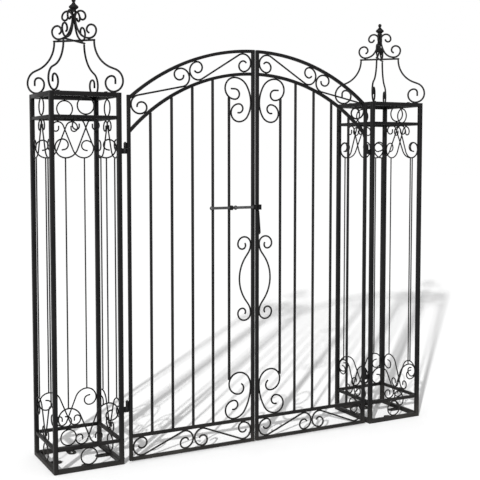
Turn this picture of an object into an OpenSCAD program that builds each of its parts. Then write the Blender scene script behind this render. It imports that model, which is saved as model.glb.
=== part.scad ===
// Double-leaf garden gate hung between two open lattice columns, black steel.
// Origin: centre of the foot of the left column's inner front post. +X runs along the gate,
// +Y to the back, +Z up. The right half mirrors the left one about the middle of the opening.

/* [Overall] */
// Outer width across both columns
gate_w = 1220; // [1000:10:1500]
// Height of the columns without their crowns
column_h = 1018; // [850:2:1300]
// Side of each square column
column_w = 198; // [170:1:250]
// Height of the arched top above the ground, in the middle
leaf_top = 1154; // [1000:2:1500]
// Gap under the leaves
ground_gap = 5; // [5:1:25]

/* [Column] */
// Side of the posts and of the top and bottom rails
post = 12; // [10:1:16]
// Side of the rails that close the bands
band_bar = 9; // [7:1:12]
// Clear height of the upper and lower bands
band_h = 50; // [40:1:70]
// Diameter of the scroll wire and rings
face_wire = 4; // [3:0.5:6]
// Drop of a face scroll below its rail
face_drop = 106; // [90:1:130]
// Length of an anchor tab from the rail
tab_l = 38; // [30:1:50]
// Width of an anchor tab
tab_w = 24; // [18:1:30]
// Thickness of an anchor tab and of the crown's flat bars
flat_t = 3; // [2:0.5:5]
// Width of the anchor slot
slot_w = 7; // [5:0.5:9]
// End to end length of the anchor slot
slot_l = 22; // [14:1:26]
// Distance of the slot's middle from the rail
slot_at = 21; // [18:1:30]

/* [Crown] */
// Diameter of the crown wire
crown_wire = 5.5; // [4:0.5:8]
// Height of the upper cross above the column
cross_h = 143; // [120:1:180]
// Height of the cast finial
finial_h = 36; // [30:1:50]
// Widest radius of the finial
finial_r = 13.5; // [9:0.5:18]
// Overhang of the crown's foot curls past the sides of the column
crown_out = 5; // [0:0.5:6]

/* [Leaf] */
// Side of the stiles and rails of a leaf
frame = 9; // [7:1:12]
// Diameter of the upright bars
bar_d = 8; // [6:0.5:10]
// Diameter of the scroll wire
leaf_wire = 5; // [4:0.5:6]
// Gap between a post and its hinge stile
hinge_gap = 17; // [17:0.5:24]
// Gap between the two meeting stiles
meet_gap = 5.1; // [5.1:0.1:12]
// Clear height of the scroll band at the foot
foot_band = 55; // [50:1:75]
// Radius of the arched top, to its middle line
arch_r = 595; // [500:5:700]
// Clear width of the scroll band in the arch
arch_band = 56; // [50:1:75]
// Distance of the short bar from the meeting stile, middle to middle
lock_bay = 78; // [66:1:90]
// Distance of the short bar from the last long bar, middle to middle
short_bay = 52; // [44:1:66]
// Height of the lower end of the lyre scroll
lyre_z = 366; // [300:2:450]
// Height of the lyre scroll
lyre_h = 250; // [200:2:300]

/* [Hinges and bolt] */
// Radius of a hinge pin
pin_r = 2.5; // [2:0.1:4]
// Radial clearance of pins and bolt in their holes
fit = 0.06; // [0.02:0.01:0.1]
// Clearance between a leaf and its post when the leaf stands open
swing_gap = 5; // [5:0.5:8]
// Height of a hinge knuckle
knuckle_h = 15; // [12:0.5:20]
// Height of the lower hinge
hinge_lo = 143; // [120:1:200]
// Distance of the upper hinge below the top of its column
hinge_drop = 164; // [100:1:300]
// Height of the slide bolt
bolt_z = 700; // [600:2:850]
// Radius of the slide bolt
bolt_r = 4; // [3:0.25:5]
// Reach of the slide bolt past its keeper when shot
bolt_out = 13; // [8:1:20]
// Length of the bolt's grip behind its rear guide when shot
bolt_grip = 28.5; // [20:0.5:40]
// Clearance of the bolt in its keeper
keeper_gap = 1.5; // [1:0.1:2]
// Wall of the keeper
keeper_wall = 2; // [1.5:0.1:3]

/* [Hidden] */
$fn = 48;
seat = 0.2;
joint = 0.05;
half_w = column_w - 2 * post;
face_in = half_w / 2;
opening = gate_w - 2 * column_w;
mid_x = post / 2 + opening / 2;
axis_x = (post - column_w) / 2;
axis_y = (column_w - post) / 2;

band_lo = post + band_h;
band_hi = column_h - post - band_h;

// The pins stand back from the leaf's middle, so a leaf that opens backwards clears the crown
knuckle_r = frame / 2;
pivot_y = crown_out / 2;
pivot_x = post / 2 + swing_gap + frame / 2 + pivot_y;

stile_x = max(post / 2 + hinge_gap, pivot_x + knuckle_r + seat);
leaf_w = mid_x - meet_gap / 2 - stile_x;
leaf_in = stile_x + frame;
leaf_out = stile_x + leaf_w - frame;
foot_z = ground_gap + frame;
rail_z = foot_z + foot_band;
bars_z = rail_z + frame;
hinge_hi = column_h - hinge_drop;
keeper_in = bolt_r + keeper_gap;

arch_z = leaf_top - frame / 2 - arch_r;
inner_r = arch_r - arch_band - frame;
under_r = inner_r - frame / 2;

short_x = leaf_out + frame / 2 - lock_bay;
last_x = short_x - short_bay;
pitch = (last_x - (leaf_in - frame / 2)) / 4;

// Path helpers. A point is [x, y, heading]; a step is [radius, turn] or [0, length].
function go(p, s) = s[0] == 0
  ? [p[0] + s[1] * cos(p[2]), p[1] + s[1] * sin(p[2]), p[2]]
  : let (k = sign(s[1]))
    [p[0] + k * s[0] * (sin(p[2] + s[1]) - sin(p[2])),
     p[1] - k * s[0] * (cos(p[2] + s[1]) - cos(p[2])), p[2] + s[1]];
function at(p, steps, i) = i == 0 ? p : go(at(p, steps, i - 1), steps[i - 1]);
// Two arcs that turn a quarter circle inside a box of width a and height b, round end first
function quarter(a, b, k) =
  let (c = cos(30), s = 0.5, d = c - 0.5)
  [[(s * a - (1 - c) * b) / d, k * 60], [(c * b - s * a) / d, k * 30]];
function turned(steps) = [for (i = [len(steps) - 1 : -1 : 0]) steps[i]];
// Two opposite arcs that shift the line sideways by a over a length b, leaning by up to w
// between them; f is the first arc's share of the radii
function shift(a, b, w, k, f) =
  let (v = min(w, 1.96 * atan(a / b)), l = a / tan(v / 2) - b, s = (b - l * cos(v)) / sin(v))
  [[f * s, k * v], [0, l], [(1 - f) * s, -k * v]];

// The same steps walked the other way
function unwound(steps) = [for (i = [len(steps) - 1 : -1 : 0])
  steps[i][0] == 0 ? steps[i] : [steps[i][0], -steps[i][1]]];

// One bent wire. Neighbouring bends meet inside a thin upset ring
module strand(p, steps, d) {
  n = len(steps) - 1;
  for (i = [0 : n]) {
    q = at(p, steps, i);
    r = steps[i][0];
    v = steps[i][1];
    g0 = i == 0 ? 0 : joint;
    g1 = i == n ? 0 : joint;
    if (r == 0)
      translate([q[0], q[1], 0]) rotate([0, 0, q[2]]) translate([g0, 0, 0]) rotate([0, 90, 0])
        cylinder(h = v - g0 - g1, d = d);
    else
      translate([q[0] - sign(v) * r * sin(q[2]), q[1] + sign(v) * r * cos(q[2]), 0])
        rotate([0, 0, q[2] - 90 * sign(v) + (v < 0 ? v + g1 / r * 57.3 : g0 / r * 57.3)])
          rotate_extrude(angle = abs(v) - (g0 + g1) / r * 57.3) translate([r, 0]) circle(d = d);
    if (i > 0) translate([q[0], q[1], 0]) rotate([0, 0, q[2]]) rotate([0, 90, 0])
      cylinder(h = 12 * joint, d = d + 2 * joint, center = true);
  }
}
// A wire that runs both ways from p: onward along fwd, and backward along back
module wire(p, back, fwd, d) {
  e = at([p[0], p[1], p[2] + 180], back, len(back));
  strand([e[0], e[1], e[2] + 180], concat(unwound(back), fwd), d);
}

// Stands a flat drawing upright, in the plane of a leaf
module upright() rotate([90, 0, 0]) children();

// The right half mirrors the left half
module right_side() translate([2 * mid_x, 0, 0]) mirror([1, 0, 0]) children();

// Column-centred frame; the four faces and the four corners
module column() translate([axis_x, axis_y, 0]) children();
module faces() for (v = [0 : 90 : 270]) rotate([0, 0, v]) translate([0, (post - column_w) / 2, 0])
  children();
module corners() for (v = [45 : 90 : 315]) rotate([0, 0, v]) children();

module posts() color("#2b2b2e")
  column() corners() translate([(column_w - post) / sqrt(2), 0, column_h / 2]) rotate([0, 0, -45])
    cube([post, post, column_h], center = true);

module rails() color("#2b2b2e") column() faces() {
  for (z = [0, column_h - post])
    translate([-face_in, -post / 2, z]) cube([half_w, post, post]);
  for (z = [band_lo, band_hi - band_bar])
    translate([-face_in, -band_bar / 2, z]) cube([half_w, band_bar, band_bar]);
}

module anchor_tabs() color("#2b2b2e") column() faces() difference() {
  union() {
    translate([-tab_w / 2, post / 2, 0]) cube([tab_w, tab_l - tab_w / 2, flat_t]);
    translate([0, post / 2 + tab_l - tab_w / 2, 0]) cylinder(h = flat_t, d = tab_w);
  }
  for (y = [-1, 1]) translate([0, post / 2 + slot_at + y * (slot_l - slot_w) / 2, -1])
    cylinder(h = flat_t + 2, d = slot_w);
  translate([-slot_w / 2, post / 2 + slot_at - (slot_l - slot_w) / 2, -1])
    cube([slot_w, slot_l - slot_w, flat_t + 2]);
}

module rings() color("#2b2b2e") column() faces()
  for (z = [post + band_h / 2, column_h - post - band_h / 2])
    translate([0, 0, z]) upright() rotate_extrude()
      translate([band_h / 2 - seat - face_wire / 2, 0]) circle(d = face_wire);

// Face ornament: two wires that cross one in front of the other, with large loops at the posts
loop_r = half_w * 0.163;
loop_x = face_in - seat - face_wire / 2 - loop_r;
curl_r = half_w * 0.094;
curl_x = half_w * 0.114;
drop = face_drop - face_wire / 2;
lap = face_wire + seat;
module face_half() wire([curl_x, -seat - face_wire / 2, 180],
  [[curl_r, -90], [curl_r * 0.65, -90], [curl_r * 0.5, -90], [0, curl_r * 0.45]],
  concat(shift(drop - face_wire / 2 - seat, loop_x + curl_x, 68, 1, 0.33),
    [[loop_r, -90], [loop_r * 0.73, -90], [loop_r * 0.52, -90], [loop_r * 0.45, -80],
    [0, loop_r * 0.25]]), face_wire);
module face_scroll() for (k = [0, 1])
  mirror([k, 0, 0]) translate([0, 0, (0.5 - k) * lap]) face_half();
module scrolls() color("#2b2b2e") column() faces() {
  translate([0, 0, band_hi - band_bar]) upright() face_scroll();
  translate([0, 0, band_lo + band_bar]) mirror([0, 0, 1]) upright() face_scroll();
}

module rods() color("#2b2b2e") column() faces() for (x = [-1, 1])
  translate([x * loop_x, 0, band_lo + band_bar + face_drop + seat])
    cylinder(h = band_hi - band_lo - 2 * (band_bar + face_drop + seat), d = face_wire);

// Crown: heights are measured from the column's top, distances from its axis along a diagonal
diag = column_w / sqrt(2);
big_r = diag * 0.197;
foot_r = (column_w / 2 + crown_out) * sqrt(2) - crown_wire / 2 - big_r;
cross_r = diag * 0.43;
bolt_at = diag * 0.67;
module crown_base() color("#2b2b2e") column() translate([0, 0, column_h - flat_t]) {
  difference() {
    intersection() {
      union() for (v = [45, 135]) rotate([0, 0, v])
        cube([2 * diag, 14, 2 * flat_t], center = true);
      translate([-face_in, -face_in, 0]) cube([half_w, half_w, flat_t]);
    }
    corners() translate([bolt_at, 0, -1]) cylinder(h = flat_t + 2, d = 5);
  }
}
module crown_bolts() color("#2b2b2e") column() corners() translate([bolt_at, 0, column_h]) {
  cylinder(h = 4, d = 10, $fn = 6);
  translate([0, 0, -flat_t - 7]) cylinder(h = flat_t + 7, d = 4.9);
  translate([0, 0, -flat_t - 4.2]) cylinder(h = 4, d = 9, $fn = 6);
}
module crown_lower_scrolls() color("#2b2b2e") column() corners()
  translate([0, 0, column_h]) upright() {
    a = foot_r + big_r - cross_r;
    b = cross_h - crown_wire / 2 - seat - big_r - crown_wire / 2 - seat;
    strand([cross_r, cross_h - crown_wire / 2 - seat, -90], concat(shift(a, b, 69, 1, 0.69),
      [[big_r, -90], [big_r * 0.87, -90], [big_r * 0.66, -90], [big_r * 0.4, -90],
      [0, big_r * 0.4]]), crown_wire);
  }
module crown_cross() color("#2b2b2e") column() translate([0, 0, column_h + cross_h])
  for (v = [45, 135]) rotate([0, 0, v]) rotate([0, 90, 0])
    translate([0, 0, -cross_r - crown_wire / 2]) cylinder(h = 2 * cross_r + crown_wire, d = crown_wire);

stem_r = crown_wire / sqrt(2) + 0.15;
lobe_r = diag * 0.112;
rest_r = diag * 0.33;
curl_top = lobe_r * 2 + diag * 0.345;
upper_z = column_h + cross_h + crown_wire / 2 + seat;
module crown_upper_scrolls() color("#2b2b2e") column() corners()
  translate([0, 0, upper_z]) upright() wire([rest_r, crown_wire / 2, 180],
    [[lobe_r * 1.3, 90], [lobe_r, 90], [lobe_r * 0.8, 90], [lobe_r * 0.6, 80]],
    concat(quarter(rest_r - stem_r, curl_top - crown_wire - lobe_r, -1),
      [[lobe_r, -180], [lobe_r * 0.55, -180]]), crown_wire);

// Cast finial, seated on the four upper wires
seat_r = 7;
finial_z = upper_z + curl_top - lobe_r - crown_wire / 2
  + sqrt(pow(lobe_r + crown_wire / 2, 2) - pow(stem_r + lobe_r - seat_r, 2)) + seat;
module finial() color("#2b2b2e") column() translate([0, 0, finial_z]) {
  rotate_extrude() polygon([[0, 0], [seat_r, 0], [seat_r + 1, finial_h * 0.06],
    [seat_r - 1, finial_h * 0.12], [finial_r * 0.8, finial_h * 0.24], [finial_r, finial_h * 0.36],
    [finial_r * 0.9, finial_h * 0.46], [finial_r * 0.45, finial_h * 0.6],
    [finial_r * 0.24, finial_h - finial_r * 0.8], [0, finial_h - finial_r * 0.8]]);
  translate([0, 0, finial_h - finial_r * 0.45]) sphere(r = finial_r * 0.45);
}

// Hinges: a lug with a pin on the post, an eye on the leaf above it
module knuckle(x0, x1) {
  cylinder(h = knuckle_h, r = knuckle_r);
  translate([min(x0, x1), -knuckle_r * 0.7, 0]) cube([abs(x1 - x0), knuckle_r * 1.4, knuckle_h]);
}
module hinge_brackets() color("#2b2b2e") for (z = [hinge_lo, hinge_hi])
  translate([pivot_x, pivot_y, z]) {
  knuckle(post / 2 - pivot_x, 0);
  cylinder(h = 2 * knuckle_h + 2.5, r = pin_r);
}
module hinges() color("#2b2b2e") for (z = [hinge_lo, hinge_hi])
  translate([pivot_x, pivot_y, z + knuckle_h + seat]) difference() {
    knuckle(0, stile_x - pivot_x);
    translate([0, 0, -1]) cylinder(h = knuckle_h + 2, r = pin_r + fit);
  }

// Leaf
function arch_top(x) = arch_z + sqrt(pow(arch_r + frame / 2, 2) - pow(mid_x - x, 2));
module stiles() color("#2b2b2e") {
  translate([stile_x, -frame / 2, ground_gap]) cube([frame, frame, arch_top(leaf_in) - ground_gap]);
  translate([leaf_out, -frame / 2, ground_gap]) cube([frame, frame, arch_top(leaf_out) - ground_gap]);
}
module leaf_rails() color("#2b2b2e") for (z = [ground_gap, rail_z])
  translate([leaf_in, -frame / 2, z]) cube([leaf_out - leaf_in, frame, frame]);
module arches() color("#2b2b2e") intersection() {
  translate([mid_x, 0, arch_z]) upright() for (r = [arch_r, inner_r])
    rotate_extrude($fn = 240) translate([r - frame / 2, -frame / 2]) square(frame);
  translate([leaf_in, -frame, arch_z]) cube([leaf_out - leaf_in, 2 * frame, 2 * arch_r]);
}

// Upper and lower lock scrolls, drawn from the meeting stile's face; x counts away from it
lock_0 = leaf_wire / 2 + seat;
up_r = 31;
up_a = lock_bay - 26;
up_b = 71;
up_x = leaf_out - lock_0 - up_a;
up_z = arch_z + sqrt(pow(under_r - up_r - leaf_wire / 2 - seat, 2) - pow(mid_x - up_x, 2));
low_r = 25.5;
low_a = lock_bay - frame / 2 - bar_d / 2 - leaf_wire - 2 * seat - low_r;
low_b = 55;
foot_a = 56;
foot_b = 92;
foot_r2 = 27;
head_a = lock_bay - 39;
head_b = 43;
head_r = 32;
back_z = bars_z + seat + leaf_wire / 2 + foot_b;
head_x = leaf_out - lock_0 - head_a;
head_z = back_z + head_b - head_r;
module lock_scrolls() color("#2b2b2e") upright() {
  wire([up_x, up_z + up_r, 0], [[up_r, 180], [up_r * 0.48, 180], [0, up_r * 0.4]],
    concat(quarter(up_a, up_b, -1), turned(quarter(low_a, low_b, -1)),
      [[low_r, -180], [low_r * 0.5, -200]]), leaf_wire);
  wire([head_x, back_z + head_b, 0], [[head_r, 180], [head_r * 0.5, 150]],
    concat(quarter(head_a, head_b, -1), turned(quarter(foot_a, foot_b, -1)),
      [[foot_r2, -180], [foot_r2 * 0.5, -200]]), leaf_wire);
  lyre_r = 21;
  c = lyre_h / 2 - leaf_wire / 2 - lyre_r;
  body = concat(turned(shift(37, c, 36, 1, 0.3)),
    [[lyre_r, 180], [lyre_r * 0.7, 90], [lyre_r * 0.5, 130]]);
  translate([leaf_out - lock_0, lyre_z + lyre_h / 2])
    wire([-37, 0, 90], [for (s = body) s[0] == 0 ? s : [s[0], -s[1]]], body, leaf_wire);
}

module bars() color("#2b2b2e") {
  intersection() {
    for (i = [1 : 4]) translate([leaf_in - frame / 2 + i * pitch, 0, bars_z])
      cylinder(h = leaf_top, d = bar_d);
    union() {
      translate([mid_x, 0, arch_z]) upright()
        cylinder(h = 2 * frame, r = under_r - seat, center = true, $fn = 240);
      translate([leaf_in, -frame, 0]) cube([leaf_out - leaf_in, 2 * frame, arch_z]);
    }
  }
  difference() {
    lo = head_z + sqrt(pow(head_r + leaf_wire / 2, 2) - pow(short_x - head_x, 2));
    hi = up_z - sqrt(pow(up_r + leaf_wire / 2, 2) - pow(short_x - bar_d / 2 - up_x, 2));
    translate([short_x, 0, lo]) cylinder(h = hi - lo, d = bar_d);
    translate([up_x, 0, up_z]) upright() cylinder(h = 2 * frame, r = up_r + leaf_wire / 2 + seat,
      center = true);
    translate([head_x, 0, head_z]) upright() cylinder(h = 2 * frame,
      r = head_r + leaf_wire / 2 + seat, center = true);
  }
}

// S-scroll between the centres a and b of its two loops; side is where its diagonal leaves a
module s_scroll(a, b, r, side) {
  d = norm(b - a);
  v = side * asin(2 * r / d) + atan2(b[1] - a[1], b[0] - a[0]);
  l = sqrt(d * d - 4 * r * r);
  curl = [[r, -side * 180 - asin(2 * r / d) * side], [r * 0.6, -side * 180], [r * 0.42, -side * 75]];
  wire([(a[0] + b[0] - l * cos(v)) / 2, (a[1] + b[1] - l * sin(v)) / 2, v], curl,
    concat([[0, l]], curl), leaf_wire);
}
foot_loop = foot_band / 2 - seat - leaf_wire / 2;
side_0 = seat + leaf_wire / 2;
module base_scrolls() color("#2b2b2e") upright() {
  z = foot_z + foot_band / 2;
  m = (leaf_in + leaf_out) / 2;
  s_scroll([leaf_in + side_0 + foot_loop, z], [m - side_0 / 2 - leaf_wire / 4 - foot_loop, z],
    foot_loop, 1);
  s_scroll([leaf_out - side_0 - foot_loop, z], [m + side_0 / 2 + leaf_wire / 4 + foot_loop, z],
    foot_loop, -1);
}
arch_loop = arch_band / 2 - seat - leaf_wire / 2;
mid_r = arch_r - frame / 2 - arch_band / 2;
function on_arch(x) = let (v = acos((mid_x - x) / mid_r))
  [mid_x - mid_r * cos(v), arch_z + mid_r * sin(v)];
module frieze_scrolls() color("#2b2b2e") upright() {
  a = leaf_in + side_0 + arch_loop;
  b = leaf_out - side_0 - arch_loop;
  va = acos((mid_x - a) / mid_r);
  vb = acos((mid_x - b) / mid_r);
  w = asin((arch_loop + leaf_wire / 2 + seat / 2) / mid_r);
  m = (va + vb) / 2;
  s_scroll(on_arch(a), [mid_x - mid_r * cos(m - w), arch_z + mid_r * sin(m - w)], arch_loop, -1);
  s_scroll(on_arch(b), [mid_x - mid_r * cos(m + w), arch_z + mid_r * sin(m + w)], arch_loop, 1);
}

// Slide bolt in front of the leaves, drawn back at rest
bolt_y = -(frame / 2 + bolt_r + 3.5);
bolt_tip = stile_x + leaf_w - 2;
bolt_travel = 2 + meet_gap + frame + bolt_out;
bolt_l = bolt_tip + bolt_travel - (short_x - bar_d / 2) + bolt_grip;
guide = bolt_r + 2.5;
module guide_block(x, w, depth) translate([x - w / 2, 0, 0]) {
  translate([0, bolt_y - guide, bolt_z - guide]) cube([w, -bolt_y + guide - depth, 2 * guide]);
}
module bolt_hole(x0, x1) translate([x0, bolt_y, bolt_z]) rotate([0, 90, 0])
  cylinder(h = x1 - x0, r = bolt_r + fit);
module bolt_guides() color("#2b2b2e") difference() {
  union() {
    guide_block(short_x, bar_d, bar_d / 2 + seat);
    guide_block(leaf_out + frame / 2, frame, frame / 2);
  }
  bolt_hole(short_x - 20, leaf_out + 20);
}
// The keeper is an offcut of square tube on the other leaf
module bolt_keeper() color("#2b2b2e") difference() {
  x = leaf_out + frame + meet_gap;
  out = keeper_in + keeper_wall;
  translate([x, bolt_y - out, bolt_z - out]) cube([frame, -bolt_y + out - frame / 2, 2 * out]);
  translate([x - 1, bolt_y - keeper_in, bolt_z - keeper_in])
    cube([frame + 2, 2 * keeper_in, 2 * keeper_in]);
}
module slide_bolt() color("#2b2b2e") translate([bolt_tip, bolt_y, bolt_z]) {
  translate([-bolt_r, 0, 0]) sphere(r = bolt_r);
  translate([-bolt_l, 0, 0]) rotate([0, 90, 0]) cylinder(h = bolt_l - bolt_r, r = bolt_r);
  translate([-bolt_l, 0, 0]) sphere(r = bolt_r * 1.4);
  translate([short_x + bar_d / 2 + 8 - bolt_tip, 0, 0]) rotate([0, 90, 0])
    cylinder(h = 6, r = bolt_r * 1.6);
}
module pull() color("#2b2b2e") right_side() {
  x = leaf_out + frame / 2;
  translate([x, -frame / 2, bolt_z - guide - 82]) upright() linear_extrude(flat_t) hull() {
    translate([0, 75]) circle(d = 8);
    translate([-2, 14]) circle(d = 13);
  }
}

posts();  // left_posts
rails();  // left_column_rails
anchor_tabs();  // left_anchor_tabs
rings();  // left_rings
scrolls();  // left_face_scrolls
rods();  // left_face_rods
crown_base();  // left_crown_base
crown_bolts();  // left_crown_bolts
crown_lower_scrolls();  // left_crown_scrolls
crown_cross();  // left_crown_cross
crown_upper_scrolls();  // left_crown_top
finial();  // left_finial
hinge_brackets();  // left_hinge_pins
right_side() posts();  // right_posts
right_side() rails();  // right_column_rails
right_side() anchor_tabs();  // right_anchor_tabs
right_side() rings();  // right_rings
right_side() scrolls();  // right_face_scrolls
right_side() rods();  // right_face_rods
right_side() crown_base();  // right_crown_base
right_side() crown_bolts();  // right_crown_bolts
right_side() crown_lower_scrolls();  // right_crown_scrolls
right_side() crown_cross();  // right_crown_cross
right_side() crown_upper_scrolls();  // right_crown_top
right_side() finial();  // right_finial
right_side() hinge_brackets();  // right_hinge_pins
stiles();  // left_stiles
leaf_rails();  // left_leaf_rails
arches();  // left_arches
bars();  // left_bars
frieze_scrolls();  // left_frieze
base_scrolls();  // left_base_scrolls
lock_scrolls();  // left_lock_scrolls
hinges();  // left_hinge_eyes
right_side() stiles();  // right_stiles
right_side() leaf_rails();  // right_leaf_rails
right_side() arches();  // right_arches
right_side() bars();  // right_bars
right_side() frieze_scrolls();  // right_frieze
right_side() base_scrolls();  // right_base_scrolls
right_side() lock_scrolls();  // right_lock_scrolls
right_side() hinges();  // right_hinge_eyes
bolt_guides();
bolt_keeper();
slide_bolt();
pull();
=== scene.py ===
import math
import random
import bpy
from mathutils import Matrix, Vector


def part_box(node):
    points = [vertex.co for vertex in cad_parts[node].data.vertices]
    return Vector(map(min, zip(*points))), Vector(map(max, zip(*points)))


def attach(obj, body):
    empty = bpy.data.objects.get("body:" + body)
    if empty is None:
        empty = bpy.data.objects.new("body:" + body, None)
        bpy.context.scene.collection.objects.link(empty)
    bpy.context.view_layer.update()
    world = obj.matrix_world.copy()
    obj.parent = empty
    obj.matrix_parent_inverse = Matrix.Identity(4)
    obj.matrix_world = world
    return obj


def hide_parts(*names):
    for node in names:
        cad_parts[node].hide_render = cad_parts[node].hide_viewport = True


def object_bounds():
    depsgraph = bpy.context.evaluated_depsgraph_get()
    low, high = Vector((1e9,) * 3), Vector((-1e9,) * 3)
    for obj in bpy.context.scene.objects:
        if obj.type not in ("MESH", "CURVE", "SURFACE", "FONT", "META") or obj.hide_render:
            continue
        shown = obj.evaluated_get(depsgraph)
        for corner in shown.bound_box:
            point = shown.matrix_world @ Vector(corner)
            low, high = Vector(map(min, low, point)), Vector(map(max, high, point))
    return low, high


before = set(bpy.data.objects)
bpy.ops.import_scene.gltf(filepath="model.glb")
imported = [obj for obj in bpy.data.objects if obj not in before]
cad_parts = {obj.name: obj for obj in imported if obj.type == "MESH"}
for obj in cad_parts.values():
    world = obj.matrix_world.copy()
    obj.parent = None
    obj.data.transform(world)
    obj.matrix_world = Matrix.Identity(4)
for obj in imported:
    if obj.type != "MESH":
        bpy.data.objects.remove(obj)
cadBox = [list(corner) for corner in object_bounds()]
print("frame loaded:", len(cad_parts), "nodes")

# Stock that the gate is made from, in metres
stock = {"post": 0.012, "bandBar": 0.009, "leafBar": 0.009, "upright": 0.008,
         "faceWire": 0.004, "crownWire": 0.0055, "leafWire": 0.005, "seat": 0.0002}
seat = stock["seat"]
sides = ("left", "right")

# Places that everything else is counted from
postsLow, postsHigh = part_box("left_posts")
middleX = (postsLow.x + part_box("right_posts")[1].x) / 2
columnX, columnY = (postsLow.x + postsHigh.x) / 2, (postsLow.y + postsHigh.y) / 2
columnWidth, columnTop = postsHigh.x - postsLow.x, postsHigh.z
stilesLow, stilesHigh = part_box("left_stiles")
leafIn = stilesLow.x + stock["leafBar"]
leafOut = stilesHigh.x - stock["leafBar"]


def select(piece):
    if bpy.context.mode != "OBJECT":
        bpy.ops.object.mode_set(mode="OBJECT")
    bpy.ops.object.select_all(action="DESELECT")
    piece.select_set(True)
    bpy.context.view_layer.objects.active = piece


def editAll(piece):
    select(piece)
    bpy.ops.object.mode_set(mode="EDIT")
    bpy.ops.mesh.select_all(action="SELECT")


# Ends an edit: spots closer together than the distance become one, and the faces turn outwards
def closeUp(distance):
    bpy.ops.mesh.select_all(action="SELECT")
    bpy.ops.mesh.remove_doubles(threshold=distance)
    bpy.ops.mesh.normals_make_consistent(inside=False)
    bpy.ops.object.mode_set(mode="OBJECT")


def added(name, data):
    piece = bpy.data.objects.new(name, data)
    bpy.context.scene.collection.objects.link(piece)
    return piece


def asMesh(name, lines):
    select(added(name, lines))
    bpy.ops.object.convert(target="MESH")
    piece = bpy.context.object
    editAll(piece)
    return piece


def pieceName(first, words):
    return first + "".join(word.capitalize() for word in words.split("_"))


def finished(piece, body, nodes, material, angle=40):
    select(piece)
    piece.data.materials.clear()
    piece.data.materials.append(material)
    bpy.ops.object.shade_smooth_by_angle(angle=math.radians(angle))
    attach(piece, body)
    if nodes:
        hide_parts(*nodes)


# One value in a material's nodes. Sums and products of values add Math nodes
class Value:
    def __init__(self, tree, socket):
        self.tree = tree
        self.socket = socket

    def node(self, kind, settings, inputs, output=0):
        made = self.tree.nodes.new(kind)
        for key, setting in settings.items():
            setattr(made, key, setting)
        for key, given in inputs.items():
            if isinstance(given, Value):
                self.tree.links.new(given.socket, made.inputs[key])
            else:
                made.inputs[key].default_value = given
        return Value(self.tree, made.outputs[output])

    def math(self, operation, first, second=0.0, clamp=False):
        return self.node("ShaderNodeMath", {"operation": operation, "use_clamp": clamp},
                         {0: first, 1: second})

    def __add__(self, other):
        return self.math("ADD", self, other)

    __radd__ = __add__

    def __sub__(self, other):
        return self.math("SUBTRACT", self, other)

    def __rsub__(self, other):
        return self.math("SUBTRACT", other, self)

    def __mul__(self, other):
        return self.math("MULTIPLY", self, other)

    __rmul__ = __mul__

    def __truediv__(self, other):
        return self.math("DIVIDE", self, other)

    def __pow__(self, other):
        return self.math("POWER", self, other)

    def between(self, low, high):
        return self.math("ADD", (self - low) / (high - low), 0.0, clamp=True)

    # In a colour Mix node input 0 is the share, 6 and 7 are the colours, and output 2 is the result
    def mixed(self, share, first, second):
        return self.node("ShaderNodeMix", {"data_type": "RGBA"}, {0: share, 6: first, 7: second}, 2)

    def bumped(self, depth, **inputs):
        return self.node("ShaderNodeBump", {}, {"Strength": 1.0, "Distance": depth, **inputs})


# Scales are per metre, depths and heights in metres
coatLook = {"name": "satinBlackCoat", "dark": (0.0026, 0.0026, 0.0029, 1),
            "light": (0.0060, 0.0056, 0.0056, 1), "dust": (0.042, 0.039, 0.035, 1),
            "patches": 9.0, "patchDetail": 4.0, "patchRange": (0.35, 0.68),
            "specks": 260.0, "speckRange": (0.66, 0.74), "speckShare": 0.10, "fineDetail": 2.0,
            "peel": 520.0, "peelDepth": 0.00004, "dents": 70.0, "dentDetail": 3.0, "dentDepth": 0.00012,
            "grain": 0.55, "dustTop": 0.16, "dustFade": 2.0, "dustPatches": 0.75, "dustShare": 0.5,
            "dustRoughness": 0.3, "roughness": 0.44, "spread": 0.12, "specular": 0.10}
castLook = {**coatLook, "name": "castBlackCoat", "peel": 700.0, "peelDepth": 0.00012, "dents": 160.0,
            "dentDepth": 0.0003, "roughness": 0.46, "patches": 40.0}
# The slide bolt's coat: its light tone, far above the other coats, is a painted sheen that stands in for the
# highlight along the rod. Its lower roughness and higher specular make it shinier as well
rubbedLookPaintedSheen = {**coatLook, "name": "rubbedBlackCoatPaintedSheen", "light": (0.045, 0.045, 0.047, 1), "patches": 60.0,
            "roughness": 0.30, "spread": 0.10, "specular": 0.55}


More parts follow.
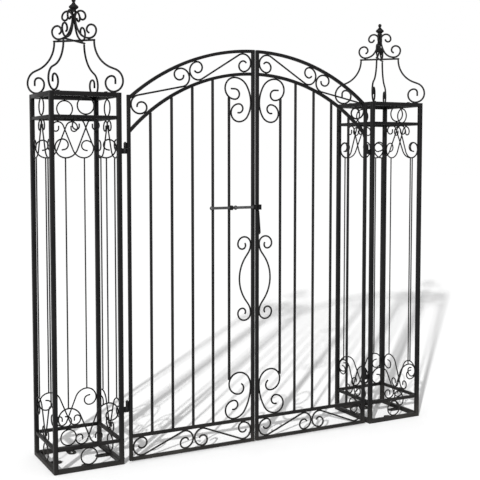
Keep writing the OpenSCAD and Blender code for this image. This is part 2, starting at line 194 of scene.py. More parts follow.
def coatedSteel(look):
    material = bpy.data.materials.new(look["name"])
    material.use_nodes = True
    tree = material.node_tree
    shader = tree.nodes["Principled BSDF"]
    place = Value(tree, tree.nodes.new("ShaderNodeTexCoord").outputs["Object"])

    def noise(scale, detail):
        return place.node("ShaderNodeTexNoise", {}, {"Vector": place, "Scale": scale,
                                                     "Detail": detail, "Roughness": look["grain"]})

    patches = noise(look["patches"], look["patchDetail"]).between(*look["patchRange"])
    specks = noise(look["specks"], look["fineDetail"]).between(*look["speckRange"])
    peel = noise(look["peel"], look["fineDetail"])
    dents = noise(look["dents"], look["dentDetail"])
    height = place.node("ShaderNodeSeparateXYZ", {}, {"Vector": place}, 2)
    nearGround = (1 - height.between(0.0, look["dustTop"])) ** look["dustFade"]
    dust = nearGround * (1 - look["dustPatches"] + look["dustPatches"] * patches) * look["dustShare"]
    coat = place.mixed(patches, look["dark"], look["light"])
    dusty = place.mixed(dust + specks * look["speckShare"], coat, look["dust"])
    rough = look["roughness"] + patches * look["spread"] + dust * look["dustRoughness"]
    peelBump = place.bumped(look["peelDepth"], Height=peel)
    bump = place.bumped(look["dentDepth"], Height=dents, Normal=peelBump)
    for name, value in (("Base Color", dusty), ("Roughness", rough), ("Normal", bump)):
        tree.links.new(value.socket, shader.inputs[name])
    shader.inputs["Specular IOR Level"].default_value = look["specular"]
    return material


blackCoat, castCoat, rubbedCoatPaintedSheen = (coatedSteel(look) for look in (coatLook, castLook, rubbedLookPaintedSheen))
print("materials made")


# Bends under the small radius are drawn with a coarser step, in degrees
bendSteps = {"smallRadius": 0.03, "small": 8, "large": 5, "fewest": 3}


# A place on a flat drawing is (x, y, heading); a bend is (radius, turn) and a straight run (0, length)
def onward(place, bend):
    x, y, heading = place
    radius, turn = bend
    a, b = math.radians(heading), math.radians(heading + turn)
    if radius == 0:
        return x + turn * math.cos(a), y + turn * math.sin(a), heading
    r = math.copysign(radius, turn)
    return x + r * (math.sin(b) - math.sin(a)), y - r * (math.cos(b) - math.cos(a)), heading + turn


def trace(place, bends):
    points = [place[:2]]
    for radius, turn in bends:
        step = bendSteps["small" if radius < bendSteps["smallRadius"] else "large"]
        parts = 1 if radius == 0 else max(bendSteps["fewest"], math.ceil(abs(turn) / step))
        for _ in range(parts):
            place = onward(place, (radius, turn / parts))
            points.append(place[:2])
    return points


def bothWays(place, back, fore):
    x, y, heading = place
    return trace((x, y, heading + 180), back)[::-1] + trace(place, fore)[1:]


# Two arcs that turn a quarter circle inside a box of width a and height b, round end first
def quarter(a, b, side):
    c, s = math.cos(math.radians(30)), 0.5
    return [((s * a - (1 - c) * b) / (c - s), side * 60), ((c * b - s * a) / (c - s), side * 30)]


# The bends of a curl: shares of its radius with their turns, and a straight end
def spiral(radius, parts, end=0):
    bends = [(radius * share, turn) for share, turn in parts]
    return bends + [(0, radius * end)] if end else bends


# Two opposite arcs that shift the line sideways by a over a length b. A lean of twice the
# line's own slope would leave no straight run between them
def shift(a, b, lean, side, share):
    leanLimit = 1.96
    v = min(lean, leanLimit * math.degrees(math.atan(a / b)))
    t = math.radians(v)
    run = a / math.tan(t / 2) - b
    s = (b - run * math.cos(t)) / math.sin(t)
    return [(share * s, side * v), (0, run), ((1 - share) * s, -side * v)]


def mirrored(side, point):
    return Vector((2 * middleX - point[0] if side == "right" else point[0], point[1], point[2]))


def onFace(side, turn, x, out, z):
    y = (stock["post"] - columnWidth) / 2 - out
    c, s = math.cos(math.radians(turn)), math.sin(math.radians(turn))
    return mirrored(side, (columnX + x * c - y * s, columnY + x * s + y * c, z))


def onDiagonal(side, turn, reach, z):
    c, s = math.cos(math.radians(turn)), math.sin(math.radians(turn))
    return mirrored(side, (columnX + reach * c, columnY + reach * s, z))


# Dressed ends are shares of the wire's diameter; merge is in metres
wireEnds = {"length": 0.12, "width": 0.78, "merge": 0.000005}


# Wires are drawn as lines, given their thickness and a dressed end, and then made meshes
def bendWires(name, paths, diameter, body, nodes, closed=False, roundness=4):
    lines = bpy.data.curves.new(name, "CURVE")
    lines.dimensions = "3D"
    lines.bevel_depth = diameter / 2
    lines.bevel_resolution = roundness
    lines.use_fill_caps = not closed
    dressing = diameter * wireEnds["length"]
    for path in paths:
        spots = [(Vector(p), 1.0) for p in path]
        if not closed:
            first, last = spots[0][0], spots[-1][0]
            inFirst = first + (spots[1][0] - first).normalized() * dressing
            inLast = last + (spots[-2][0] - last).normalized() * dressing
            spots = [(first, wireEnds["width"]), (inFirst, 1.0), *spots[1:-1],
                     (inLast, 1.0), (last, wireEnds["width"])]
        spline = lines.splines.new("POLY")
        spline.points.add(len(spots) - 1)
        for point, (spot, radius) in zip(spline.points, spots):
            point.co = (*spot, 1)
            point.radius = radius
        spline.use_cyclic_u = closed
    piece = asMesh(name, lines)
    closeUp(wireEnds["merge"])
    finished(piece, body, nodes, blackCoat)


beads = {"columns": [], "left_leaf": [], "right_leaf": []}


def weld(body, place, thickness):
    beads[body].append((place, thickness))


# Column faces: rings in the bands, scrolls below and above them, and thin rods between.
# Band and drop are in metres; loop, curlRadius and curlPlace are shares of the face's width
faceSizes = {"band": 0.050, "drop": 0.106, "loop": 0.163, "curlRadius": 0.094, "curlPlace": 0.114,
             "lean": 68, "share": 0.33, "curl": ((1, -90), (0.65, -90), (0.5, -90)), "curlEnd": 0.45,
             "coil": ((1, -90), (0.73, -90), (0.52, -90), (0.45, -80)), "coilEnd": 0.25,
             "ringPoints": 60, "rodWeld": 0.9}
halfFace = (columnWidth - 2 * stock["post"]) / 2
bandLow = stock["post"] + faceSizes["band"]
bandHigh = columnTop - stock["post"] - faceSizes["band"]
faceWire = stock["faceWire"]
loopRadius = 2 * halfFace * faceSizes["loop"]
loopX = halfFace - seat - faceWire / 2 - loopRadius
curlRadius = 2 * halfFace * faceSizes["curlRadius"]
curlX = 2 * halfFace * faceSizes["curlPlace"]
faceDrop = faceSizes["drop"] - faceWire / 2
lapped = (faceWire + seat) / 2
halfScroll = bothWays((curlX, -seat - faceWire / 2, 180),
                      spiral(curlRadius, faceSizes["curl"], faceSizes["curlEnd"]),
                      shift(faceDrop - faceWire / 2 - seat, loopX + curlX, faceSizes["lean"], 1,
                            faceSizes["share"])
                      + spiral(loopRadius, faceSizes["coil"], faceSizes["coilEnd"]))
ringRadius = faceSizes["band"] / 2 - seat - faceWire / 2
ringTurns = [math.radians(360 / faceSizes["ringPoints"] * n) for n in range(faceSizes["ringPoints"])]
rodEnds = (bandLow + stock["bandBar"] + faceSizes["drop"], bandHigh - stock["bandBar"] - faceSizes["drop"])
levels = ((bandHigh - stock["bandBar"], 1), (bandLow + stock["bandBar"], -1))
bandMiddles = (stock["post"] + faceSizes["band"] / 2, columnTop - stock["post"] - faceSizes["band"] / 2)
for side in sides:
    scrolls, rings, rods = [], [], []
    for turn in (0, 90, 180, 270):
        for level, up in levels:
            touching = level - up * (faceDrop - loopRadius)
            for hand in (1, -1):
                scrolls.append([onFace(side, turn, hand * x, hand * lapped, level + up * y)
                                for x, y in halfScroll])
                weld("columns", onFace(side, turn, hand * curlX, hand * lapped, level), faceWire)
                weld("columns", onFace(side, turn, hand * halfFace, hand * lapped, touching), faceWire)
        for z in bandMiddles:
            rings.append([onFace(side, turn, ringRadius * math.cos(a), 0, z + ringRadius * math.sin(a))
                          for a in ringTurns])
            for end in (-1, 1):
                weld("columns", onFace(side, turn, 0, 0, z + end * faceSizes["band"] / 2), faceWire)
        for hand in (1, -1):
            rods.append([onFace(side, turn, hand * loopX, 0, z) for z in rodEnds])
            for z in rodEnds:
                weld("columns", onFace(side, turn, hand * loopX, 0, z), faceWire * faceSizes["rodWeld"])
    bendWires(side + "FaceScrolls", scrolls, faceWire, "columns", [side + "_face_scrolls"])
    bendWires(side + "Rings", rings, faceWire, "columns", [side + "_rings"], closed=True)
    bendWires(side + "FaceRods", rods, faceWire, "columns", [side + "_face_rods"])
print("column faces made")

# Crowns: overhang, crossHeight and stemGap are in metres, the other lengths are shares of the
# half diagonal of a column. The overhang counts to the wire's edge along the diagonal
crownSizes = {"overhang": 0.005, "cross": 0.43, "bigCurl": 0.197, "crossHeight": 0.143, "lobe": 0.112,
              "curlTop": 0.345, "rest": 0.33, "stemGap": 0.00015, "lean": 69, "share": 0.69,
              "foot": ((1, -90), (0.87, -90), (0.66, -90), (0.4, -90)), "footEnd": 0.4,
              "restCurl": ((1.3, 90), (1, 90), (0.8, 90), (0.6, 80)), "topCurl": ((1, -180), (0.55, -180)),
              "crossWeld": 1.15, "roundness": 5}
crownWire = stock["crownWire"]
diagonal = columnWidth / math.sqrt(2)
bigCurl, lobe = diagonal * crownSizes["bigCurl"], diagonal * crownSizes["lobe"]
footReach = (columnWidth / 2 + crownSizes["overhang"]) * math.sqrt(2) - crownWire / 2 - bigCurl
crossReach = diagonal * crownSizes["cross"]
crossHeight = crownSizes["crossHeight"]
lowerDrawing = trace((crossReach, crossHeight - crownWire / 2 - seat, -90),
                     shift(footReach + bigCurl - crossReach, crossHeight - crownWire - 2 * seat - bigCurl,
                           crownSizes["lean"], 1, crownSizes["share"])
                     + spiral(bigCurl, crownSizes["foot"], crownSizes["footEnd"]))
stemReach = crownWire / math.sqrt(2) + crownSizes["stemGap"]
curlTop = lobe * 2 + diagonal * crownSizes["curlTop"]
upperZ = columnTop + crossHeight + crownWire / 2 + seat
restReach = diagonal * crownSizes["rest"]
upperDrawing = bothWays((restReach, crownWire / 2, 180), spiral(lobe, crownSizes["restCurl"]),
                        quarter(restReach - stemReach, curlTop - crownWire - lobe, -1)
                        + spiral(lobe, crownSizes["topCurl"]))
for side in sides:
    lower, upper = [], []
    for turn in (45, 135, 225, 315):
        lower.append([onDiagonal(side, turn, x, columnTop + z) for x, z in lowerDrawing])
        upper.append([onDiagonal(side, turn, x, upperZ + z) for x, z in upperDrawing])
        weld("columns", onDiagonal(side, turn, footReach, columnTop), crownWire)
        weld("columns", onDiagonal(side, turn, crossReach, columnTop + crossHeight),
             crownWire * crownSizes["crossWeld"])
        weld("columns", onDiagonal(side, turn, restReach, upperZ), crownWire)
    crossEnd = crossReach + crownWire / 2
    cross = [[onDiagonal(side, turn, reach, columnTop + crossHeight) for reach in (-crossEnd, crossEnd)]
             for turn in (45, 135)]
    for kind, node, paths in (("CrownScrolls", "_crown_scrolls", lower), ("CrownTop", "_crown_top", upper),
                              ("CrownCross", "_crown_cross", cross)):
        bendWires(side + kind, paths, crownWire, "columns", [side + node], roundness=crownSizes["roundness"])
print("crowns made")

# Leaves: scrolls at the foot, in the arch and along the meeting stile
wire = stock["leafWire"]


def highestNear(node, x, reach=0.0005):
    return max(v.co.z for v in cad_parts[node].data.vertices if abs(v.co.x - x) < reach)


inTop, outTop = highestNear("left_arches", leafIn), highestNear("left_arches", leafOut)
inGap, outGap = middleX - leafIn, middleX - leafOut
archZ = (outTop ** 2 - inTop ** 2 + outGap ** 2 - inGap ** 2) / (2 * (outTop - inTop))
archRadius = math.hypot(outGap, outTop - archZ) - stock["leafBar"] / 2
leafSizes = {"footBand": 0.055, "archBand": 0.056, "lockBay": 0.078, "shortBay": 0.052,
             "lyreLow": 0.366, "lyreHeight": 0.250, "longBars": 4, "barInto": 0.001, "barRoundness": 6,
             "scrollEnd": ((0.6, 180), (0.42, 75))}
footLow = stilesLow.z + stock["leafBar"]
barsLow = footLow + leafSizes["footBand"] + stock["leafBar"]
innerRadius = archRadius - leafSizes["archBand"] - stock["leafBar"]
underRadius = innerRadius - stock["leafBar"] / 2
start = seat + wire / 2


def sScroll(a, b, radius, side):
    gap = math.dist(a, b)
    lean = math.degrees(math.asin(2 * radius / gap))
    v = side * lean + math.degrees(math.atan2(b[1] - a[1], b[0] - a[0]))
    run = math.sqrt(gap * gap - 4 * radius * radius)
    curl = [(radius, -side * (180 + lean))]
    curl += spiral(radius, [(share, -side * turn) for share, turn in leafSizes["scrollEnd"]])
    x = (a[0] + b[0] - run * math.cos(math.radians(v))) / 2
    z = (a[1] + b[1] - run * math.sin(math.radians(v))) / 2
    return bothWays((x, z, v), curl, [(0, run)] + curl)


footLoop = leafSizes["footBand"] / 2 - seat - wire / 2
footMiddle, leafMiddle = footLow + leafSizes["footBand"] / 2, (leafIn + leafOut) / 2
fromMiddle = start / 2 + wire / 4 + footLoop
footDrawings = [sScroll((leafIn + start + footLoop, footMiddle), (leafMiddle - fromMiddle, footMiddle),
                        footLoop, 1),
                sScroll((leafOut - start - footLoop, footMiddle), (leafMiddle + fromMiddle, footMiddle),
                        footLoop, -1)]
archLoop = leafSizes["archBand"] / 2 - seat - wire / 2
bandRadius = archRadius - stock["leafBar"] / 2 - leafSizes["archBand"] / 2


def onArch(angle):
    return middleX - bandRadius * math.cos(angle), archZ + bandRadius * math.sin(angle)


inAngle = math.acos((middleX - leafIn - start - archLoop) / bandRadius)
outAngle = math.acos((middleX - leafOut + start + archLoop) / bandRadius)
loopAngle = math.asin((archLoop + wire / 2 + seat / 2) / bandRadius)
midAngle = (inAngle + outAngle) / 2
archDrawings = [sScroll(onArch(inAngle), onArch(midAngle - loopAngle), archLoop, -1),
                sScroll(onArch(outAngle), onArch(midAngle + loopAngle), archLoop, 1)]

# Lock side: an upper scroll, a lyre and a lower scroll
lockSizes = {"topRadius": 0.031, "topWidth": 0.052, "topHeight": 0.071, "lowHeight": 0.055,
             "lowRadius": 0.0255, "footWidth": 0.056, "footHeight": 0.092, "footRadius": 0.027,
             "headWidth": 0.039, "headHeight": 0.043, "headRadius": 0.032, "lyreWidth": 0.037,
             "lyreRadius": 0.021, "lyreLean": 36, "lyreShare": 0.3,
             "topCurl": ((1, 180), (0.48, 180)), "topEnd": 0.4, "headCurl": ((1, 180), (0.5, 150)),
             "lastCurl": ((1, -180), (0.5, -200)), "lyreCurl": ((1, 180), (0.7, 90), (0.5, 130))}
upX = leafOut - start - lockSizes["topWidth"]
topReach = underRadius - lockSizes["topRadius"] - wire / 2 - seat
upZ = archZ + math.sqrt(topReach ** 2 - (middleX - upX) ** 2)
lowWidth = (leafSizes["lockBay"] - stock["leafBar"] / 2 - stock["upright"] / 2 - wire - 2 * seat
            - lockSizes["lowRadius"])
topScroll = bothWays((upX, upZ + lockSizes["topRadius"], 0),
                     spiral(lockSizes["topRadius"], lockSizes["topCurl"], lockSizes["topEnd"]),
                     quarter(lockSizes["topWidth"], lockSizes["topHeight"], -1)
                     + quarter(lowWidth, lockSizes["lowHeight"], -1)[::-1]
                     + spiral(lockSizes["lowRadius"], lockSizes["lastCurl"]))
backZ = barsLow + start + lockSizes["footHeight"]
headX = leafOut - start - lockSizes["headWidth"]
lowScroll = bothWays((headX, backZ + lockSizes["headHeight"], 0),
                     spiral(lockSizes["headRadius"], lockSizes["headCurl"]),
                     quarter(lockSizes["headWidth"], lockSizes["headHeight"], -1)
                     + quarter(lockSizes["footWidth"], lockSizes["footHeight"], -1)[::-1]
                     + spiral(lockSizes["footRadius"], lockSizes["lastCurl"]))
lyreRun = leafSizes["lyreHeight"] / 2 - wire / 2 - lockSizes["lyreRadius"]
lyreHalf = (shift(lockSizes["lyreWidth"], lyreRun, lockSizes["lyreLean"], 1, lockSizes["lyreShare"])[::-1]
            + spiral(lockSizes["lyreRadius"], lockSizes["lyreCurl"]))
lyreBack = [(radius, turn if radius == 0 else -turn) for radius, turn in lyreHalf]
lyreZ = leafSizes["lyreLow"] + leafSizes["lyreHeight"] / 2
lyre = [(leafOut - start + x, lyreZ + z)
        for x, z in bothWays((-lockSizes["lyreWidth"], 0, 90), lyreBack, lyreHalf)]

# Upright bars run up into the inner arch; the short one stands between two scrolls
shortX = leafOut + stock["leafBar"] / 2 - leafSizes["lockBay"]
lastX = shortX - leafSizes["shortBay"]
pitch = (lastX - leafIn + stock["leafBar"] / 2) / leafSizes["longBars"]
longBars = [leafIn - stock["leafBar"] / 2 + n * pitch for n in range(1, leafSizes["longBars"] + 1)]
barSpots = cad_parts["left_bars"].data.vertices
shortSpots = [v.co.z for v in barSpots if abs(v.co.x - shortX) < stock["upright"] / 2 + seat]
shortLow, shortHigh = min(shortSpots), max(shortSpots)


def standing(side, drawing):
    return [mirrored(side, (x, 0, z)) for x, z in drawing]


def underArch(x):
    return archZ + math.sqrt(underRadius ** 2 - (middleX - x) ** 2) + leafSizes["barInto"]


for side in sides:
    body = side + "_leaf"
    for kind, node, drawings in (("FootScrolls", "_base_scrolls", footDrawings),
                                 ("ArchScrolls", "_frieze", archDrawings),
                                 ("LockScrolls", "_lock_scrolls", (topScroll, lowScroll, lyre))):
        bendWires(side + kind, [standing(side, d) for d in drawings], wire, body, [side + node])
    bars = [standing(side, [(x, barsLow), (x, underArch(x))]) for x in longBars]
    bars.append(standing(side, [(shortX, shortLow), (shortX, shortHigh)]))
    bendWires(side + "Uprights", bars, stock["upright"], body, [side + "_bars"],
              roundness=leafSizes["barRoundness"])
    for drawing in footDrawings:
        for pick, edgeZ, push in ((min, footLow, -wire / 2), (max, barsLow - stock["leafBar"], wire / 2)):
            x = pick(drawing, key=lambda spot: spot[1])[0]
            weld(body, mirrored(side, (x, 0, edgeZ)), wire)
            x, z = pick(drawing, key=lambda spot: spot[0])
            weld(body, mirrored(side, (x + push, 0, z)), wire)
    for drawing in archDrawings:
        for pick, push in ((max, wire / 2), (min, -wire / 2)):
            x, z = pick(drawing, key=lambda spot: math.hypot(spot[0] - middleX, spot[1] - archZ))
            away = Vector((x - middleX, 0, z - archZ)).normalized() * push
            weld(body, mirrored(side, (x + away.x, 0, z + away.z)), wire)
    lockTouches = [max(drawing, key=lambda spot: spot[0])[1] for drawing in (topScroll, lowScroll)]
    for z in (*lockTouches, lyreZ - lyreRun, lyreZ + lyreRun):
        weld(body, mirrored(side, (leafOut, 0, z)), wire)
    for x in longBars:
        weld(body, mirrored(side, (x, 0, barsLow)), stock["upright"])
print("leaf wires made")


# Widths and segments of the rounded edges; merge is in metres, flat and sharp in degrees
edgeLook = {"merge": 0.00001, "flat": 1, "sharp": 35}
rounding = {"posts": (0.0013, 3), "column_rails": (0.0011, 3), "anchor_tabs": (0.0005, 2),
            "crown_base": (0.0004, 2), "crown_bolts": (0.0005, 2), "hinge_pins": (0.0006, 2)}
leafRounding = {"stiles": (0.0007, 3), "leaf_rails": (0.0011, 3), "hinge_eyes": (0.0006, 2)}
latchRounding = {"bolt_guides": ("boltGuides", 0.0005, "left_leaf"),
                 "bolt_keeper": ("boltKeeper", 0.0005, "right_leaf"),
                 "pull": ("pullPlate", 0.0006, "right_leaf")}


# Square tube and flat bar keep the frame's shape and get the rounded edges of rolled stock
def roundEdges(name, node, width, body, steps=2):
    piece = added(name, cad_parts[node].data.copy())
    select(piece)
    bpy.ops.mesh.customdata_custom_splitnormals_clear()
    editAll(piece)
    bpy.ops.mesh.remove_doubles(threshold=edgeLook["merge"])
    bpy.ops.mesh.dissolve_limited(angle_limit=math.radians(edgeLook["flat"]))
    bpy.ops.object.mode_set(mode="OBJECT")
    edges = piece.modifiers.new("edges", "BEVEL")
    edges.width = width
    edges.segments = steps
    edges.limit_method = "ANGLE"
    edges.angle_limit = math.radians(edgeLook["sharp"])
    bpy.ops.object.modifier_apply(modifier="edges")
    finished(piece, body, [node], blackCoat)


for side in sides:
    for node, (width, steps) in rounding.items():
        roundEdges(pieceName(side, node), side + "_" + node, width, "columns", steps)
    for node, (width, steps) in leafRounding.items():
        roundEdges(pieceName(side, node), side + "_" + node, width, side + "_leaf", steps)
for node, (name, width, body) in latchRounding.items():
    roundEdges(name, node, width, body)
print("square stock made")


# The arches are square tube rolled to a radius, made too long and cut at the stiles
arcLook = {"margin": 0.012, "edge": 0.0011, "edgeSteps": 3, "steps": 44, "merge": 0.000005}


def arcBar(name, radius):
    low, high = (math.acos((x - middleX) / radius)
                 for x in (leafIn - arcLook["margin"], leafOut + arcLook["margin"]))
    place = (middleX + radius * math.cos(low), 0, archZ + radius * math.sin(low))
    bpy.ops.mesh.primitive_plane_add(size=stock["leafBar"], rotation=(0, -low, 0), location=place)
    piece = bpy.context.object
    piece.name = name
    editAll(piece)
    bpy.ops.mesh.bevel(offset=arcLook["edge"], segments=arcLook["edgeSteps"], affect="VERTICES")
    bpy.ops.mesh.select_all(action="SELECT")
    bpy.ops.mesh.spin(steps=arcLook["steps"], angle=high - low, center=(middleX, 0, archZ), axis=(0, 1, 0))
    for x, inner in ((leafIn, True), (leafOut, False)):
        bpy.ops.mesh.select_all(action="SELECT")
        bpy.ops.mesh.bisect(plane_co=(x, 0, 0), plane_no=(1, 0, 0), use_fill=True,
                            clear_inner=inner, clear_outer=not inner)
    closeUp(arcLook["merge"])
    bpy.ops.object.transform_apply(location=True, rotation=True, scale=True)
    return piece


for side in sides:
    outerArc = arcBar(side + "Arches", archRadius)
    innerArc = arcBar(side + "InnerArch", innerRadius)
    select(outerArc)
    innerArc.select_set(True)
    bpy.ops.object.join()
    if side == "right":
        for vertex in outerArc.data.vertices:
            vertex.co.x = 2 * middleX - vertex.co.x
        editAll(outerArc)
        bpy.ops.mesh.normals_make_consistent(inside=False)
        bpy.ops.object.mode_set(mode="OBJECT")
    finished(outerArc, side + "_leaf", [side + "_arches"], blackCoat)
print("arches made")


# Turned and cast pieces start as a line of (distance from the axis, place along it)
def turnProfile(name, profile, centre, axis, steps, merge=0.00001):
    across = Vector((1, 0, 0)) if axis.z else Vector((0, 0, 1))
    outline = bpy.data.curves.new(name, "CURVE")
    outline.dimensions = "3D"
    line = outline.splines.new("POLY")
    line.points.add(len(profile) - 1)
    for point, (radius, along) in zip(line.points, profile):
        point.co = (*(centre + across * radius + axis * along), 1)
    piece = asMesh(name, outline)
    bpy.ops.mesh.spin(steps=steps, angle=math.tau, center=centre, axis=axis)
    closeUp(merge)
    return piece


def arc(middle, radius, first, last, parts):
    return [(radius * math.cos(math.radians(a)), middle + radius * math.sin(math.radians(a)))
            for a in (first + (last - first) * n / parts for n in range(parts + 1))]


# Cast finial: a foot ring, a fluted bulb, a waist and a ball. The outline gives a part, a share
# of its radius and a share of the height; swell says where the flutes are deepest and how far
# they reach, as shares of the height
finialSizes = {"foot": 0.0078, "waist": 0.0061, "bulb": 0.0133, "ball": 0.0056, "flutes": 8,
               "fluteDepth": 0.075, "swell": (0.40, 0.15), "ballArc": (-58, 90, 10), "steps": 48,
               "smoothing": 60}
finialOutline = (("foot", 0.86, 0), ("foot", 1, 0.03), ("foot", 1, 0.07), ("foot", 0.84, 0.10),
                 ("waist", 1, 0.135), ("waist", 1.15, 0.17), ("bulb", 0.72, 0.225), ("bulb", 0.92, 0.285),
                 ("bulb", 1, 0.35), ("bulb", 0.97, 0.405), ("bulb", 0.83, 0.46), ("bulb", 0.62, 0.52),
                 ("bulb", 0.45, 0.585), ("bulb", 0.33, 0.65), ("bulb", 0.26, 0.71), ("bulb", 0.25, 0.745))
for side in sides:
    low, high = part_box(side + "_finial")
    tall = high.z - low.z
    centre = Vector(((low.x + high.x) / 2, (low.y + high.y) / 2, low.z))
    profile = [(0, 0)]
    profile += [(finialSizes[part] * share, height * tall) for part, share, height in finialOutline]
    profile += arc(tall - finialSizes["ball"], finialSizes["ball"], *finialSizes["ballArc"])
    profile[-1] = (0, tall)
    piece = turnProfile(side + "Finial", profile, centre, Vector((0, 0, 1)), finialSizes["steps"])
    swellAt, swellReach = finialSizes["swell"]
    for vertex in piece.data.vertices:
        away = vertex.co - centre
        angle, share = math.atan2(away.y, away.x), away.z / tall
        swell = math.exp(-((share - swellAt) / swellReach) ** 2)
        flute = (0.5 + 0.5 * math.cos(finialSizes["flutes"] * angle)) ** 2
        grow = 1 - finialSizes["fluteDepth"] * swell * flute
        vertex.co.x, vertex.co.y = centre.x + away.x * grow, centre.y + away.y * grow
    finished(piece, "columns", [side + "_finial"], castCoat, angle=finialSizes["smoothing"])
print("finials made")

# Slide bolt: a rod with a rounded tip, a collar for the fingers and a ball at the back
boltSizes = {"rod": 0.004, "ball": 0.0056, "collar": 0.0064, "collarFit": 0.0003, "collarEdge": 0.82,
             "collarRound": 0.0014, "collarFoot": 0.0004, "ballArc": (-90, 44, 12), "tipArc": (0, 90, 8),
             "steps": 32, "smoothing": 50}
rod, ball, collar = boltSizes["rod"], boltSizes["ball"], boltSizes["collar"]
low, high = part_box("slide_bolt")
boltZ, boltY = (low.z + high.z) / 2, (low.y + high.y) / 2
collarSpots = [v.co.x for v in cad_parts["slide_bolt"].data.vertices
               if math.hypot(v.co.y - boltY, v.co.z - boltZ) > collar - boltSizes["collarFit"]]
collarLow, collarHigh = min(collarSpots) - low.x, max(collarSpots) - low.x
boltLength = high.x - low.x
neck = ball + math.sqrt(ball ** 2 - rod ** 2)
profile = arc(ball, ball, *boltSizes["ballArc"])
profile[0] = (0, 0)
profile += [(rod, neck), (rod, collarLow - boltSizes["collarFoot"]),
            (collar * boltSizes["collarEdge"], collarLow), (collar, collarLow + boltSizes["collarRound"]),
            (collar, collarHigh - boltSizes["collarRound"]), (collar * boltSizes["collarEdge"], collarHigh),
            (rod, collarHigh + boltSizes["collarFoot"]), (rod, boltLength - rod)]
profile += arc(boltLength - rod, rod, *boltSizes["tipArc"])[1:]
profile[-1] = (0, boltLength)
boltBack = Vector((low.x, boltY, boltZ))
piece = turnProfile("slideBolt", profile, boltBack, Vector((1, 0, 0)), boltSizes["steps"])
# The bolt takes the coat whose light patches are a painted sheen
finished(piece, "bolt", ["slide_bolt"], rubbedCoatPaintedSheen, angle=boltSizes["smoothing"])
print("bolt made")

# Welds: small uneven beads where the pieces meet
beadSizes = {"width": 0.62, "height": 0.34, "uneven": 0.16, "seed": 11, "roundness": 2, "smoothing": 80}
chance = random.Random(beadSizes["seed"])
bpy.ops.object.select_all(action="DESELECT")
bpy.ops.mesh.primitive_ico_sphere_add(subdivisions=beadSizes["roundness"], radius=1)
pattern = bpy.context.object
for body, places in beads.items():
    copies = []
    for place, thickness in places:
        bead = added("bead", pattern.data.copy())
        turn = Matrix.Rotation(chance.uniform(0, math.tau), 3, "Z")
        shape = Vector((beadSizes["width"], beadSizes["width"], beadSizes["height"])) * thickness
        for vertex in bead.data.vertices:
            uneven = 1 + chance.uniform(-1, 1) * beadSizes["uneven"]
            vertex.co = place + turn @ (vertex.co * shape * uneven)
        copies.append(bead)
    select(copies[0])
    for bead in copies:
        bead.select_set(True)
    bpy.ops.object.join()
    piece = bpy.context.object
    piece.name = pieceName("welds", body)
    finished(piece, body, [], blackCoat, angle=beadSizes["smoothing"])
bpy.data.objects.remove(pattern)
print("welds made")

# Plain pale floor that keeps the shadow, and a white room. The room is fully bright to the
# camera and in mirrored rays, and weaker where it lights the gate
stageLook = {"size": 60.0, "floor": (0.91, 0.91, 0.91, 1), "drop": 0.0005, "room": 0.52}
bpy.ops.object.select_all(action="DESELECT")
bpy.ops.mesh.primitive_plane_add(size=stageLook["size"],
                                 location=(middleX, columnY, cadBox[0][2] - stageLook["drop"]))
floor = bpy.context.object
floor.name = "floor"
floorMaterial = bpy.data.materials.new("paleFloor")
floorMaterial.use_nodes = True
floorShader = floorMaterial.node_tree.nodes["Principled BSDF"]
floorShader.inputs["Base Color"].default_value = stageLook["floor"]
floorShader.inputs["Roughness"].default_value = 1.0
floorShader.inputs["Specular IOR Level"].default_value = 0.0
floor.data.materials.append(floorMaterial)

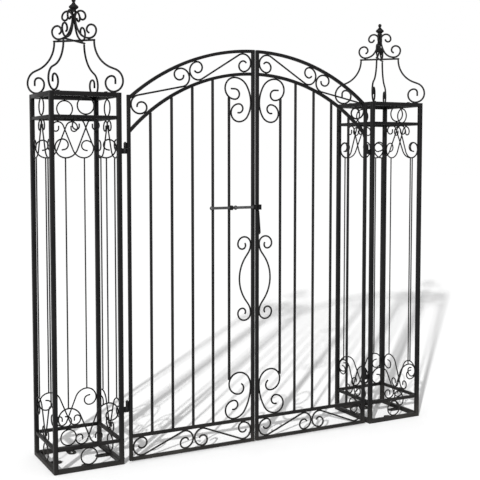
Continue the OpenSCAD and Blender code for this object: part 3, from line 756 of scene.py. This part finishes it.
world = bpy.data.worlds.new("room")
bpy.context.scene.world = world
world.use_nodes = True
tree = world.node_tree
background = tree.nodes["Background"]
background.inputs["Color"].default_value = (1, 1, 1, 1)
path = tree.nodes.new("ShaderNodeLightPath")
seen, mirroredIn, through = (Value(tree, path.outputs[name])
                             for name in ("Is Camera Ray", "Is Glossy Ray", "Is Transmission Ray"))
strength = stageLook["room"] + (seen + mirroredIn + through) * (1 - stageLook["room"])
tree.links.new(strength.socket, background.inputs["Strength"])

# Light: a low soft sun from the front left, and a broad lamp above that aims at aimHeight
lightLook = {"azimuth": 42.4, "elevation": 20.3, "strength": 5.3, "softness": 1.3,
             "above": 12.0, "aboveSize": 3.0, "abovePlace": (-0.6, -0.8, 3.2), "aimHeight": 0.7}


def light(name, kind, energy, direction):
    lamp = added(name, bpy.data.lights.new(name, kind))
    lamp.data.energy = energy
    lamp.rotation_mode = "QUATERNION"
    lamp.rotation_quaternion = direction.to_track_quat("-Z", "Y")
    return lamp


a, e = math.radians(lightLook["azimuth"]), math.radians(lightLook["elevation"])
fall = Vector((math.sin(a) * math.cos(e), math.cos(a) * math.cos(e), -math.sin(e)))
sun = light("keyLight", "SUN", lightLook["strength"], fall)
sun.data.angle = math.radians(lightLook["softness"])
lampX, lampY, lampZ = lightLook["abovePlace"]
lampPlace = Vector((middleX + lampX, columnY + lampY, lampZ))
lampAim = Vector((middleX, columnY, lightLook["aimHeight"]))
above = light("topLight", "AREA", lightLook["above"], lampAim - lampPlace)
above.data.size = lightLook["aboveSize"]
above.location = lampPlace
print("stage and lights made")

# Camera: yaw turns from straight ahead to the right, pitch upwards
view = {"place": (-0.874, -2.353, 0.843), "yaw": 27.84, "pitch": -3.62, "lens": 68.97, "sensor": 36,
        "shiftY": -0.05, "farthest": 100}
camera = added("camera", bpy.data.cameras.new("camera"))
camera.data.lens = view["lens"]
camera.data.sensor_width = view["sensor"]
camera.data.shift_y = view["shiftY"]
camera.data.clip_end = view["farthest"]
camera.location = view["place"]
yaw, pitch = math.radians(view["yaw"]), math.radians(view["pitch"])
ahead = Vector((math.sin(yaw) * math.cos(pitch), math.cos(yaw) * math.cos(pitch), math.sin(pitch)))
right = Vector((math.cos(yaw), -math.sin(yaw), 0))
up = right.cross(ahead)
camera.rotation_mode = "QUATERNION"
camera.rotation_quaternion = Matrix((right, up, -ahead)).transposed().to_quaternion()
bpy.context.scene.camera = camera
bpy.context.scene.view_settings.view_transform = "Standard"
print("camera made")
